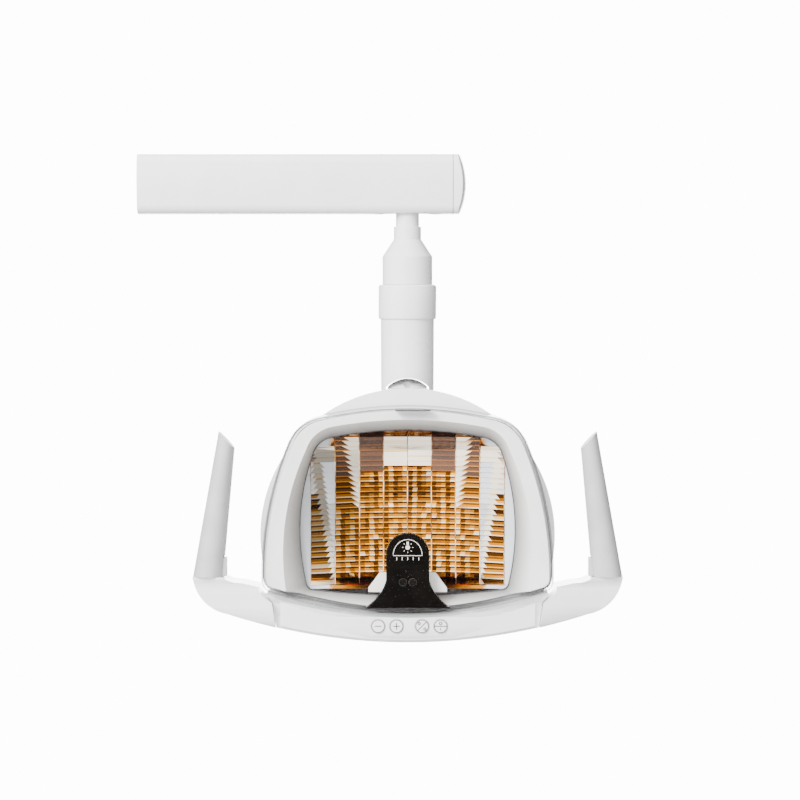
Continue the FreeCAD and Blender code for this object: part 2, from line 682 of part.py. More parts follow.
def make_lamp():
    """The ceramic holder on the bezel's foot, and the halogen capsule standing in it."""
    holder = join("Fuse", box((NECK_X - 12, -86.0, -397.0), (NECK_X + 12, -68.0, -374.0)),
                  head_slab([(-38.0, -397.0), (38.0, -397.0), (38.0, -393.0), (27.0, -378.0), (-27.0, -378.0),
                             (-38.0, -393.0)], -84.0, -80.0))
    pins = [rod(around(x, -77, -384), 0.8, 14.0) for x in (-3.2, 3.2)]
    sockets = [rod(around(x, -77, -384), 0.8, 14.0) for x in (-3.2, 3.2)]
    keep(cut(holder, *sockets), "lamp_holder")
    keep(group(*pins), "lamp_pins")
    keep(turned([(0, -370.0), (5.6, -370.0), (6.2, -366.0), (6.2, -346.0), (4.0, -341.5), (0, -339.5)],
                around(0, -77, 0)), "lamp_capsule")


def make_chin():
    front = size("glass_front")
    key_at = [("key_minus", -28.4), ("key_plus", -10.8), ("key_mode", 13.7), ("key_power", 31.5)]
    key_round = size("key_round")
    key_z = size("key_z")
    gap = 0.35
    holes = [rod(around(x, -100, key_z), key_round + gap, 20.0, ALONG_Y) for label, x in key_at]
    hollow = join("Common", head_slab(chin_outline(), front + 3, BACK_FRAME + 1),
                  rod(around(0, 0, size("head_foot") + BELLY), BELLY - 3, 200.0, ALONG_Y),
                  box((NECK_X - 122, -110.0, -440.0), (NECK_X + 122, 0.0, -390.0)))
    lid = 3.0
    roof = rod(around(0, 0, GLASS_FOOT + 445.0), 445.0 + lid, 200.0, ALONG_Y)
    keep(cut(head_slab(chin_outline(), front, BACK_FRAME), cut(hollow, roof), *holes), "chin_cover")
    for label, x in key_at:
        keep(rod(around(x, -106.0, key_z), key_round, 6.4, ALONG_Y), label)
    keep(box((NECK_X - 38, -104.9, -433.0), (NECK_X + 42, -103.6, -421.5)), "key_mat")
    keep(box((NECK_X - 40, -103.6, -434.0), (NECK_X + 44, -102.0, -421.5)), "key_board")


def mirrored(shape, label):
    """The same piece on the other side of the neck's plane."""
    other = doc.addObject("Part::Mirroring", "mirrored")
    other.Source = shape
    other.Normal = Vector(1, 0, 0)
    other.setExpression("Base.x", NECK_X.text)
    return keep(other, label)


def make_handles():
    lean = math.degrees(math.atan2(float(size("grip_lean")), float(size("grip_rise"))))
    upright = Rotation(Vector(0, 1, 0), -lean)
    foot = around(size("grip_x"), size("grip_y"), size("grip_foot"))
    post = 7.0
    arm = head_slab(arm_outline(), -114.0, -78.0)
    peg = rod(around(size("grip_x") + 0.54, size("grip_y"), size("grip_foot") - 4), post, size("post_rise") + 4, upright)
    keep(join("Fuse", arm, peg), "handle_arm_right")

    base = doc.addObject("Part::Ellipse", "base")
    bind(base, "MajorRadius", size("grip_thick"))
    bind(base, "MinorRadius", size("grip_wide"))
    place(base, foot, Rotation(Vector(0, 0, 1), 90))
    tip = doc.addObject("Part::Ellipse", "tip")
    tip.MajorRadius = 11.0
    tip.MinorRadius = 8.4
    place(tip, around(size("grip_x") - size("grip_lean"), size("grip_y"), size("grip_foot") + size("grip_rise")),
          Rotation(Vector(0, 0, 1), 90))
    loft = doc.addObject("Part::Loft", "taper")
    loft.Sections = [base, tip]
    loft.Solid = True
    loft.Ruled = True
    slope = box((0, -40, 0), (80, 40, 60))
    apex = around(size("grip_x") - 10.7, size("grip_y"), size("grip_foot") + size("grip_rise"))
    place(slope, (apex[0] - 33, size("grip_y") - 40, apex[2] - 35), Rotation(Vector(0, 1, 0), -46.5))
    notch = box((NECK_X + 168, -106.6, -380.0), (NECK_X + 183.6, -93.4, -359.6))
    bore = rod(around(size("grip_x") + 0.54, size("grip_y"), size("grip_foot") - 4), post + 0.08,
               size("post_rise") + 6, upright)
    keep(cut(loft, slope, notch, bore), "grip_right")
    keep(box((NECK_X + 173.6, -106.0, -378.9), (NECK_X + 178.6, -94.0, -361.0)), "latch_right")
    for piece in ("handle_arm", "grip", "latch"):
        mirrored(KEPT[f"{piece}_right"], f"{piece}_left")


def make_head():
    make_rear_shell()
    make_knuckle()
    make_chassis()
    make_reflector()
    make_bezel()
    make_glass()
    make_pod()
    make_lamp()
    make_chin()
    make_handles()


make_arm()
make_arm_lead()
make_neck()
make_head()
doc.recompute()
faults = [thing.Name for thing in doc.Objects if {"Invalid", "Error"} & set(thing.State)]
faults += [label for label, thing in KEPT.items() if thing.Shape.isNull() or not thing.Shape.isValid()]
if faults:
    raise RuntimeError(f"failed objects: {faults}")

os.makedirs("parts", exist_ok=True)
for label, thing in KEPT.items():
    thing.Shape.exportStep(f"parts/{label}.step")
    print(label, len(thing.Shape.Solids), round(thing.Shape.Volume / 1000, 2), "cm3")
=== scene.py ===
"""Studio scene of the dental operating light: finished skins, materials, lights and camera."""
import json
import math
import random

import bmesh
import bpy
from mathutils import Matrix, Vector
from mathutils.bvhtree import BVHTree


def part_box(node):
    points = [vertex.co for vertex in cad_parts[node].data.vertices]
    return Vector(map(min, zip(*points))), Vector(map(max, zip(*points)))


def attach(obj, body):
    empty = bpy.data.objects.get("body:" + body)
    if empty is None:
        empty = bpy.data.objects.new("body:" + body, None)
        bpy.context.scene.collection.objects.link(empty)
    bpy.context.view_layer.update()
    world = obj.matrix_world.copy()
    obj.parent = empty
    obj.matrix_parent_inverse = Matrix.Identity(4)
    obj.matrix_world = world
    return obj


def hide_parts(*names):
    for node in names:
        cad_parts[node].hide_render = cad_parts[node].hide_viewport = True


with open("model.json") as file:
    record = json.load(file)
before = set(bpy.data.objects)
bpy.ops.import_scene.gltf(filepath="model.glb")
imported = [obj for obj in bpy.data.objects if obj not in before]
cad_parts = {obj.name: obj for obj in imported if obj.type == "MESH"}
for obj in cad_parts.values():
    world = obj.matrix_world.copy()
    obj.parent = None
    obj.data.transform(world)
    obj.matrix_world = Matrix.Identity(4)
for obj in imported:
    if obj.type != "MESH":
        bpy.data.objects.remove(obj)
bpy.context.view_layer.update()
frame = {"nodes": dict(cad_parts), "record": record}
MM = 0.001
NODES = frame["nodes"]
BODY_OF = {node: body for body, nodes in frame["record"]["behaviour"]["bodies"].items() for node in nodes}
SLOT_OF = {row["node"]: row["material_slot"] for row in frame["record"]["subparts"]}
NECK_X = sum(corner[0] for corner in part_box("collar")) / 2


# ---------------------------------------------------------------- materials

def linear(hex_colour):
    """An sRGB hex value as linear RGBA."""
    parts = [int(hex_colour[i:i + 2], 16) / 255 for i in (1, 3, 5)]
    return [c / 12.92 if c <= 0.04045 else ((c + 0.055) / 1.055) ** 2.4 for c in parts] + [1.0]


def live_socket(sockets, name):
    """The enabled socket of that name, which may be one of several under the same name."""
    return next(s for s in sockets if s.name == name and s.enabled)


def colour_sockets(sockets):
    """The colour sockets of a node that can mix several kinds of value."""
    return [s for s in sockets if s.type == "RGBA"]


def add(tree, kind, links=(), **settings):
    """Add a node and link other nodes' outputs into it.

    A setting that starts with p_ is a property of the node; any other is the value of a socket.
    """
    node = tree.nodes.new(kind)
    for name, value in settings.items():
        if name.startswith("p_"):
            setattr(node, name[2:], value)
        else:
            live_socket(node.inputs, name.replace("_", " ")).default_value = value
    for name, output in dict(links).items():
        tree.links.new(output, live_socket(node.inputs, name))
    return node


def surface(name, colour, roughness, **extra):
    """A new material and its principled shader."""
    material = bpy.data.materials.new(name)
    material.use_nodes = True
    tree = material.node_tree
    shader = next(n for n in tree.nodes if n.type == "BSDF_PRINCIPLED")
    shader.inputs["Base Color"].default_value = linear(colour)
    shader.inputs["Roughness"].default_value = roughness
    for key, value in extra.items():
        shader.inputs[key.replace("_", " ")].default_value = value
    place = add(tree, "ShaderNodeTexCoord").outputs["Object"]
    return material, tree, shader, place


def mottle(tree, shader, place, low, high, grain_mm, spread=0.04, base=0.3):
    """Faint cloudy colour and gloss changes of a given size, as on any handled surface."""
    cloud = add(tree, "ShaderNodeTexNoise", {"Vector": place}, Scale=1 / (grain_mm * MM), Detail=3.0)
    ramp = add(tree, "ShaderNodeValToRGB", {"Fac": cloud.outputs["Fac"]})
    ramp.color_ramp.elements[0].position = 0.35
    ramp.color_ramp.elements[1].position = 0.65
    ramp.color_ramp.elements[0].color = linear(low)
    ramp.color_ramp.elements[1].color = linear(high)
    tree.links.new(ramp.outputs["Color"], shader.inputs["Base Color"])
    gloss = add(tree, "ShaderNodeMapRange", {"Value": cloud.outputs["Fac"]},
                To_Min=base - spread, To_Max=base + spread)
    tree.links.new(gloss.outputs["Result"], shader.inputs["Roughness"])


def grain(tree, shader, place, pitch_mm, depth_mm, strength=0.3, detail=2.0):
    """A fine bump whose grains are a real size apart."""
    noise = add(tree, "ShaderNodeTexNoise", {"Vector": place}, Scale=1 / (pitch_mm * MM), Detail=detail)
    bump = add(tree, "ShaderNodeBump", {"Height": noise.outputs["Fac"]}, Strength=strength,
               Distance=depth_mm * MM)
    tree.links.new(bump.outputs["Normal"], shader.inputs["Normal"])


def powder_coat():
    """White powder coat on aluminium: semi-gloss, with a shallow orange-peel ripple."""
    material, tree, shader, place = surface("powder_coated_aluminium", "#F1F1F0", 0.26, Coat_Weight=0.25,
                                            Coat_Roughness=0.12)
    mottle(tree, shader, place, "#EEEEED", "#F3F3F2", 40.0, 0.03, 0.27)
    grain(tree, shader, place, 2.2, 0.02, 0.12)
    return material


def gloss_abs():
    """White moulded ABS: bright, even and glossy, with the faintest flow marks."""
    material, tree, shader, place = surface("moulded_white_abs", "#F2F2F1", 0.2, Coat_Weight=0.3,
                                            Coat_Roughness=0.06)
    mottle(tree, shader, place, "#EFEFEE", "#F4F4F3", 55.0, 0.03, 0.2)
    grain(tree, shader, place, 3.5, 0.015, 0.1)
    return material


def satin_abs():
    """Satin ABS of the inner frame: softer than the casing, a shade greyer."""
    material, tree, shader, place = surface("satin_grey_white_abs", "#E4E3DF", 0.38)
    mottle(tree, shader, place, "#EAEAE8", "#F0F0EE", 30.0, 0.05, 0.38)
    grain(tree, shader, place, 0.9, 0.02, 0.12)
    cloudy = shader.inputs["Base Color"].links[0].from_socket
    # Painted shade: the colour is multiplied down to mid grey towards the back of the funnel.
    depth = add(tree, "ShaderNodeAttribute", p_attribute_name="funnel_painted_shade")
    painted_shade_ramp = add(tree, "ShaderNodeValToRGB", {"Fac": depth.outputs["Fac"]})
    painted_shade_ramp.color_ramp.elements[0].color = linear("#FFFFFF")
    painted_shade_ramp.color_ramp.elements[1].color = linear("#8C8C8C")
    shaded = add(tree, "ShaderNodeMix", p_data_type="RGBA", p_blend_type="MULTIPLY")
    live_socket(shaded.inputs, "Factor").default_value = 1.0
    pair = colour_sockets(shaded.inputs)
    tree.links.new(cloudy, pair[0])
    tree.links.new(painted_shade_ramp.outputs["Color"], pair[1])
    tree.links.new(colour_sockets(shaded.outputs)[0], shader.inputs["Base Color"])
    return material


def grip_nylon():
    """Autoclavable grey nylon of the grips: satin, with a fine spark-eroded grain."""
    material, tree, shader, place = surface("spark_grained_grey_nylon", "#B4B4B5", 0.42)
    mottle(tree, shader, place, "#AFAFB0", "#B8B8B9", 25.0, 0.05, 0.42)
    grain(tree, shader, place, 0.55, 0.03, 0.2)
    return material


def piano_black():
    """Black acrylic of the sensor panel: deep, mirror-smooth, with a trace of warm brown."""
    material, tree, shader, place = surface("gloss_black_acrylic", "#060403", 0.06, Specular_IOR_Level=0.3)
    mottle(tree, shader, place, "#040302", "#0A0705", 18.0, 0.02, 0.07)
    return material


def clear_polycarbonate():
    """Clear moulded polycarbonate: invisible face on; where the wall is seen along itself it grows opaque
    and is painted dark grey, a painted dark reflection.
    """
    material, tree, shader, place = surface("clear_polycarbonate", "#F2F4F4", 0.04, IOR=1.58)
    rim = add(tree, "ShaderNodeLayerWeight", Blend=0.35)
    haze = add(tree, "ShaderNodeTexNoise", {"Vector": place}, Scale=1 / (12 * MM), Detail=2.0)
    film = add(tree, "ShaderNodeMapRange", {"Value": haze.outputs["Fac"]}, To_Min=0.0, To_Max=0.002)
    edge = add(tree, "ShaderNodeMapRange", {"Value": rim.outputs["Facing"]}, From_Min=0.6, From_Max=0.9,
               To_Min=0.0, To_Max=0.8)
    # Painted reflection: the base colour turns dark grey where the wall is seen along itself.
    rim_painted_dark = add(tree, "ShaderNodeValToRGB", {"Fac": rim.outputs["Facing"]})
    rim_painted_dark.color_ramp.elements[0].position = 0.66
    rim_painted_dark.color_ramp.elements[1].position = 0.88
    rim_painted_dark.color_ramp.elements[0].color = linear("#F2F4F4")
    rim_painted_dark.color_ramp.elements[1].color = linear("#3C3F42")
    tree.links.new(rim_painted_dark.outputs["Color"], shader.inputs["Base Color"])
    total = add(tree, "ShaderNodeMath", p_operation="ADD", p_use_clamp=True)
    tree.links.new(film.outputs["Result"], total.inputs[0])
    tree.links.new(edge.outputs["Result"], total.inputs[1])
    tree.links.new(total.outputs["Value"], shader.inputs["Alpha"])
    return material


def quartz():
    """Clear quartz of the halogen capsule, with a faint grey rim."""
    material, tree, shader, place = surface("clear_quartz_glass", "#E9EAEA", 0.03, IOR=1.46)
    rim = add(tree, "ShaderNodeLayerWeight", Blend=0.4)
    edge = add(tree, "ShaderNodeMapRange", {"Value": rim.outputs["Facing"]}, To_Min=0.12, To_Max=0.8)
    tree.links.new(edge.outputs["Result"], shader.inputs["Alpha"])
    grain(tree, shader, place, 3.0, 0.02, 0.1)
    return material


def dichroic_gold():
    """Dichroic coating on pressed glass: amber metal, its colour carrying a painted reflection that changes
    from facet to facet.
    """
    material, tree, shader, place = surface("dichroic_gold_mirror", "#D9A04A", 0.1, Metallic=1.0)
    # Painted reflection: the facet's colour runs from dark brown to cream with its painted reflection tone.
    tone = add(tree, "ShaderNodeAttribute", p_attribute_name="facet_painted_reflection")
    ramp = add(tree, "ShaderNodeValToRGB", {"Fac": tone.outputs["Fac"]})
    stops = ramp.color_ramp
    stops.elements[0].position = 0.0
    stops.elements[0].color = linear("#2A1404")
    stops.elements[1].position = 1.0
    stops.elements[1].color = linear("#FFF4E0")
    for position, colour in ((0.2, "#5A3208"), (0.4, "#9C5A0C"), (0.6, "#D08614"), (0.82, "#F3BE66")):
        stops.elements.new(position).color = linear(colour)
    # Painted reflection: where this is set, the surface is painted a pale grey non-metal for the bezel it
    # would mirror.
    clear = add(tree, "ShaderNodeAttribute", p_attribute_name="facet_painted_pale_reflection")
    blend = add(tree, "ShaderNodeMix", p_data_type="RGBA")
    colours = colour_sockets(blend.inputs)
    tree.links.new(clear.outputs["Fac"], live_socket(blend.inputs, "Factor"))
    tree.links.new(ramp.outputs["Color"], colours[0])
    colours[1].default_value = linear("#C9CCD0")
    metal = add(tree, "ShaderNodeMapRange", {"Value": clear.outputs["Fac"]}, To_Min=1.0, To_Max=0.1)
    tree.links.new(metal.outputs["Result"], shader.inputs["Metallic"])
    tree.links.new(colour_sockets(blend.outputs)[0], shader.inputs["Base Color"])
    streak = add(tree, "ShaderNodeTexNoise", {"Vector": place}, Scale=1 / (9 * MM), Detail=2.0)
    gloss = add(tree, "ShaderNodeMapRange", {"Value": streak.outputs["Fac"]}, To_Min=0.05, To_Max=0.16)
    tree.links.new(gloss.outputs["Result"], shader.inputs["Roughness"])
    return material


def machined(name, colour, roughness, lines_mm):
    """Turned or milled metal: fine tool lines a real distance apart."""
    material, tree, shader, place = surface(name, colour, roughness, Metallic=1.0)
    lines = add(tree, "ShaderNodeTexWave", {"Vector": place}, Scale=1 / (lines_mm * MM * 20),
                Distortion=1.5, Detail=2.0, p_bands_direction="Z")
    bump = add(tree, "ShaderNodeBump", {"Height": lines.outputs["Fac"]}, Strength=0.15, Distance=0.02 * MM)
    tree.links.new(bump.outputs["Normal"], shader.inputs["Normal"])
    wear = add(tree, "ShaderNodeTexNoise", {"Vector": place}, Scale=1 / (14 * MM), Detail=3.0)
    gloss = add(tree, "ShaderNodeMapRange", {"Value": wear.outputs["Fac"]}, To_Min=roughness - 0.08,
                To_Max=roughness + 0.1)
    tree.links.new(gloss.outputs["Result"], shader.inputs["Roughness"])
    return material


def plain_grain(name, low, high, roughness, pitch_mm):
    """A quiet moulded or printed surface with a real grain size."""
    material, tree, shader, place = surface(name, low, roughness)
    mottle(tree, shader, place, low, high, pitch_mm * 12, 0.05, roughness)
    grain(tree, shader, place, pitch_mm, 0.03, 0.2)
    return material


FINISH = {
    "white_enamel": powder_coat(), "white_plastic": gloss_abs(), "bezel_plastic": satin_abs(),
    "grey_plastic": grip_nylon(), "black_gloss": piano_black(), "clear_cover": clear_polycarbonate(),
    "gold_mirror": dichroic_gold(), "capsule_glass": quartz(),
    "ceramic": plain_grain("glazed_ceramic", "#EDEBE4", "#F4F2EC", 0.18, 1.5),
    "sensor_lens": plain_grain("infrared_filter_acrylic", "#0B0807", "#120D0B", 0.08, 2.0),
    "machined_alu": machined("machined_aluminium", "#C9CACC", 0.32, 0.4),
    "steel": machined("zinc_plated_steel", "#B4B5B7", 0.3, 0.3),
    "bearing_plastic": plain_grain("natural_acetal", "#E6E1D2", "#ECE8DA", 0.42, 0.8),
    "lead_rubber": plain_grain("grey_silicone", "#8E8E90", "#999A9B", 0.5, 0.6),
    "board_green": plain_grain("solder_mask_green", "#1F6B3B", "#2A7A46", 0.35, 1.0),
}
INK = plain_grain("screen_printed_grey_ink", "#1B1C1D", "#242526", 0.5, 0.4)
PALE_INK_AND_GLINT = plain_grain("screen_printed_pale_ink_and_painted_glint", "#CFCBC2", "#DAD6CD", 0.45, 0.4)


# ---------------------------------------------------------------- mesh helpers

MERGE_MM = 0.02
SLIVER_MM = 0.01
FLAT_DEGREES = 0.6


def object_of(name, mesh):
    """A new object in the scene that holds a mesh."""
    piece = bpy.data.objects.new(name, mesh)
    bpy.context.scene.collection.objects.link(piece)
    return piece


def mesh_of(name, work):
    """A new mesh from a bmesh, which is used up."""
    mesh = bpy.data.meshes.new(name)
    work.to_mesh(mesh)
    work.free()
    return mesh


def merged_node(node):
    """A CAD node as a bmesh whose faces share their corners."""
    work = bmesh.new()
    work.from_mesh(NODES[node].data)
    bmesh.ops.remove_doubles(work, verts=work.verts, dist=MERGE_MM * MM)
    return work


def ray_tree(node):
    """A tree for casting rays at a CAD node."""
    mesh = NODES[node].data
    return BVHTree.FromPolygons([v.co for v in mesh.vertices], [p.vertices for p in mesh.polygons])


def finished(piece, body, slot_name, *nodes, material=None):
    """Give a new piece its finish and its body, and hide the CAD nodes it stands for."""
    piece.data.materials.clear()
    piece.data.materials.append(material or FINISH[slot_name])
    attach(piece, body)
    if nodes:
        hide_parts(*nodes)
    return piece


def new_piece(name, work):
    """A new object from a bmesh, with its faces turned outwards."""
    bmesh.ops.recalc_face_normals(work, faces=work.faces)
    return object_of(name, mesh_of(name, work))


def smooth_by_angle(piece, degrees):
    """Shade smooth, with creases where faces meet more sharply than an angle."""
    mesh = piece.data
    mesh.polygons.foreach_set("use_smooth", [True] * len(mesh.polygons))
    mesh.set_sharp_from_angle(angle=math.radians(degrees))


def weigh_edges(mesh, crease, weigh):
    """Store how much each sharp edge is rounded."""
    work = bmesh.new()
    work.from_mesh(mesh)
    weights = work.edges.layers.float.new("bevel_weight_edge")
    for edge in work.edges:
        if edge.is_manifold and edge.calc_face_angle(0.0) > math.radians(crease):
            edge[weights] = weigh((edge.verts[0].co + edge.verts[1].co) / 2)
    work.to_mesh(mesh)
    work.free()


def refined(node, edge_mm=0.5, segments=3, crease=30, weigh=None):
    """A finished skin over a CAD node: merged, its flat faces whole, its edges rounded.

    weigh, where given, takes an edge's middle and returns how much of the rounding it gets.
    """
    work = merged_node(node)
    bmesh.ops.dissolve_degenerate(work, edges=work.edges, dist=SLIVER_MM * MM)
    bmesh.ops.dissolve_limit(work, angle_limit=math.radians(FLAT_DEGREES), verts=work.verts,
                             edges=work.edges)
    mesh = mesh_of(f"{node}_skin", work)
    piece = object_of(f"{node}_skin", mesh)
    smooth_by_angle(piece, crease)
    if edge_mm:
        bevel = piece.modifiers.new("soft_edges", "BEVEL")
        bevel.width = edge_mm * MM
        bevel.segments = segments
        bevel.limit_method = "ANGLE"
        bevel.angle_limit = math.radians(crease)
        if weigh:
            weigh_edges(mesh, crease, weigh)
            bevel.limit_method = "WEIGHT"
        bevel.harden_normals = True
        bevel.use_clamp_overlap = True
    return finished(piece, BODY_OF[node], SLOT_OF[node], node)


def face_loops(node, height, axis=1):
    """Outlines, in the other two axes, of a node's flat faces at one Y (or X), the longest first."""
    across, up = (0, 2) if axis == 1 else (1, 2)
    work = merged_node(node)
    flat = {f for f in work.faces if all(abs(v.co[axis] - height) < MERGE_MM * MM for v in f.verts)}
    rim = [e for e in work.edges if sum(f in flat for f in e.link_faces) == 1]
    follow = {}
    for edge in rim:
        for vert in edge.verts:
            follow.setdefault(vert, []).append(edge)
    loops = []
    left = set(rim)
    while left:
        edge = left.pop()
        start, here = edge.verts
        loop = [start, here]
        while here is not start:
            onward = [e for e in follow[here] if e in left]
            if not onward:
                break
            left.discard(onward[0])
            here = onward[0].other_vert(here)
            loop.append(here)
        loops.append([Vector((v.co[across], v.co[up])) for v in loop[:-1]])
    work.free()

    def girth(loop):
        return sum((a - b).length for a, b in zip(loop, loop[1:] + loop[:1]))

    return sorted(loops, key=girth, reverse=True)


def resampled(loop, step_mm, relax=1):
    """The same outline, anticlockwise, with evenly spaced points and eased corners."""
    area = sum(a.x * b.y - b.x * a.y for a, b in zip(loop, loop[1:] + loop[:1]))
    points = loop if area > 0 else loop[::-1]
    closed = points + points[:1]
    total = sum((b - a).length for a, b in zip(closed, closed[1:]))
    count = max(12, round(total / (step_mm * MM)))
    even = []
    travelled = 0.0
    wanted = 0.0
    for a, b in zip(closed, closed[1:]):
        span = (b - a).length
        while span > 0 and wanted <= travelled + span and len(even) < count:
            even.append(a.lerp(b, (wanted - travelled) / span))
            wanted += total / count
        travelled += span
    for _ in range(relax):
        last = len(even)
        even = [even[i] * 0.5 + (even[i - 1] + even[(i + 1) % last]) * 0.25 for i in range(last)]
    return even


def inset(loop, distance):
    """The outline moved inwards along its own normals."""
    moved = []
    count = len(loop)
    for i in range(count):
        along = (loop[(i + 1) % count] - loop[i - 1]).normalized()
        moved.append(loop[i] + Vector((-along.y, along.x)) * distance)
    return moved


def rings_to_mesh(rings, work, capped=True):
    """Join rings of (x, y, z) points of equal length into one skin."""
    made = [[work.verts.new(point) for point in ring] for ring in rings]
    for near, far in zip(made, made[1:]):
        count = len(near)
        for i in range(count):
            work.faces.new((near[i], near[(i + 1) % count], far[(i + 1) % count], far[i]))
    if capped:
        work.faces.new(made[0])
        work.faces.new(made[-1][::-1])


def strip(work, points, width, y_front, y_back, closed=False):
    """A flat line of one width through (x, z) points; its Y limits may be functions of the point."""
    count = len(points)
    sides = []
    for i in range(count):
        before = points[i - 1] if closed or i else points[i]
        after = points[(i + 1) % count] if closed or i < count - 1 else points[i]
        along = (after - before).normalized()
        across = Vector((-along.y, along.x)) * width / 2
        sides.append((points[i] + across, points[i] - across))
    made = []
    for point, (left, right) in zip(points, sides):
        front = y_front(point) if callable(y_front) else y_front
        back = y_back(point) if callable(y_back) else y_back
        made.append([work.verts.new((left.x, front, left.y)), work.verts.new((right.x, front, right.y)),
                     work.verts.new((right.x, back, right.y)), work.verts.new((left.x, back, left.y))])
    spans = count if closed else count - 1
    for i in range(spans):
        near, far = made[i], made[(i + 1) % count]
        for j in range(4):
            work.faces.new((near[j], near[(j + 1) % 4], far[(j + 1) % 4], far[j]))
    if not closed:
        work.faces.new(made[0][::-1])
        work.faces.new(made[-1])


def arc(centre, radius, start, end, count=24):
    """Points along an arc, angles in degrees."""
    angles = [math.radians(start + (end - start) * i / count) for i in range(count + 1)]
    return [centre + Vector((math.cos(a), math.sin(a))) * radius for a in angles]


# ---------------------------------------------------------------- CAD nodes with finished skins

SOFT_EDGE_MM = {
    "arm_tube": 1.2, "arm_end_cap": 1.6, "neck_upper_cover": 0.8, "collar": 0.9, "neck_fork_tube": 0.5,
    "rear_shell": 0.8, "chin_cover": 5.0, "bezel": 0.8, "clear_shield": 0.6, "pod_housing": 0.5,
    "pod_panel": 0.5, "grip_right": 2.6, "grip_left": 2.6, "handle_arm_right": 4.5, "handle_arm_left": 4.5,
    "latch_right": 0.8, "latch_left": 0.8, "tilt_knuckle": 0.6, "pivot_well": 0.5,
    "key_minus": 0.3, "key_plus": 0.3, "key_mode": 0.3, "key_power": 0.3,
}
OTHER_EDGE_MM = 0.25
BOWED_NODES = ("chin_cover", "handle_arm_right", "handle_arm_left")
BOW_REACH_MM = 20.0
BOW_DEPTH_MM = 7.0
BOW_CUT_MM = BOW_REACH_MM / 9 * 1.6
FRONT_MM = 0.05


def bow_front(piece, node):
    """Curve a skin's flat front back towards its lower edge, as a moulding's tumblehome."""
    mesh = piece.data
    tree = ray_tree(node)
    low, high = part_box(node)
    front = low[1]
    work = bmesh.new()
    work.from_mesh(mesh)
    z = low[2] + 0.5 * MM
    while z < high[2] - 1 * MM:
        faces = [f for f in work.faces if all(abs(v.co.y - front) < FRONT_MM * MM for v in f.verts)]
        edges = list({e for f in faces for e in f.edges})
        corners = list({v for f in faces for v in f.verts})
        bmesh.ops.bisect_plane(work, geom=faces + edges + corners, plane_co=(0, 0, z), plane_no=(0, 0, 1),
                               dist=1e-6)
        z += BOW_CUT_MM * MM
    for vert in work.verts:
        if abs(vert.co.y - front) > FRONT_MM * MM:
            continue
        hit = tree.ray_cast(Vector((vert.co.x, front + 1 * MM, -1.0)), Vector((0, 0, 1)))[0]
        if hit is None:
            continue
        above = (vert.co.z - hit.z) / (BOW_REACH_MM * MM)
        if above < 1:
            vert.co.y += BOW_DEPTH_MM * MM * (1 - math.sqrt(max(1 - (1 - max(above, 0.0)) ** 2, 0.0)))
    work.to_mesh(mesh)
    work.free()
    smooth_by_angle(piece, 50)


KEYS = ("key_minus", "key_plus", "key_mode", "key_power")


def middle(node):
    """The middle of a CAD node's box."""
    low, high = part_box(node)
    return (Vector(low) + Vector(high)) / 2


KEY_SPOTS = {key: middle(key) for key in KEYS}
KEY_CLEAR_MM = 9
UNDERSIDE_Z = -0.434
UNDERSIDE_RADIUS = 0.5


def casing_softness(point):
    """Full rounding on the casing's underside, little along its top, hardly any at the key holes."""
    near = min((Vector((point.x, spot.y, point.z)) - spot).length for spot in KEY_SPOTS.values())
    if near < KEY_CLEAR_MM * MM:
        return 0.05
    bow = (point.x - NECK_X) ** 2 / (2 * UNDERSIDE_RADIUS)
    return 1.0 if point.z < UNDERSIDE_Z + bow else 0.2


for node in NODES:
    skin = refined(node, SOFT_EDGE_MM.get(node, OTHER_EDGE_MM),
                   weigh=casing_softness if node == "chin_cover" else None)
    if node in BOWED_NODES:
        bow_front(skin, node)


# ---------------------------------------------------------------- reflector ribs

def front_finder(node):
    """A function giving the Y of a node's front surface behind a point (x, z), or None."""
    tree = ray_tree(node)

    def find(x, z):
        hit = tree.ray_cast(Vector((x, -1.0, z)), Vector((0, 1, 0)))[0]
        return hit.y if hit else None

    return find


def painted_amber_reflection(column, height, rng):
    """Cuts and painted reflection tones of one rib: the warm room it would mirror, painted as upright dark,
    amber and bright streaks.
    """
    count = 5
    cuts = [i / count + rng.uniform(-0.02, 0.02) for i in range(1, count)]
    slanted = [(cut - 0.03, cut + 0.03) for cut in cuts]
    tones = []
    for i in range(count):
        streak = math.sin(2.4 * i + 1.7 * column) * 0.17 + math.sin(11 * height + 2.1 * i + column) * 0.12
        tone = 0.34 + streak + rng.uniform(-0.1, 0.1)
        # Painted reflection: a darker band across the middle height.
        if 0.33 < height < 0.46:
            tone -= 0.16
        if rng.random() < 0.06:
            tone = rng.uniform(0.66, 0.84)
        tones.append((tone, 0.0))
    return slanted, tones


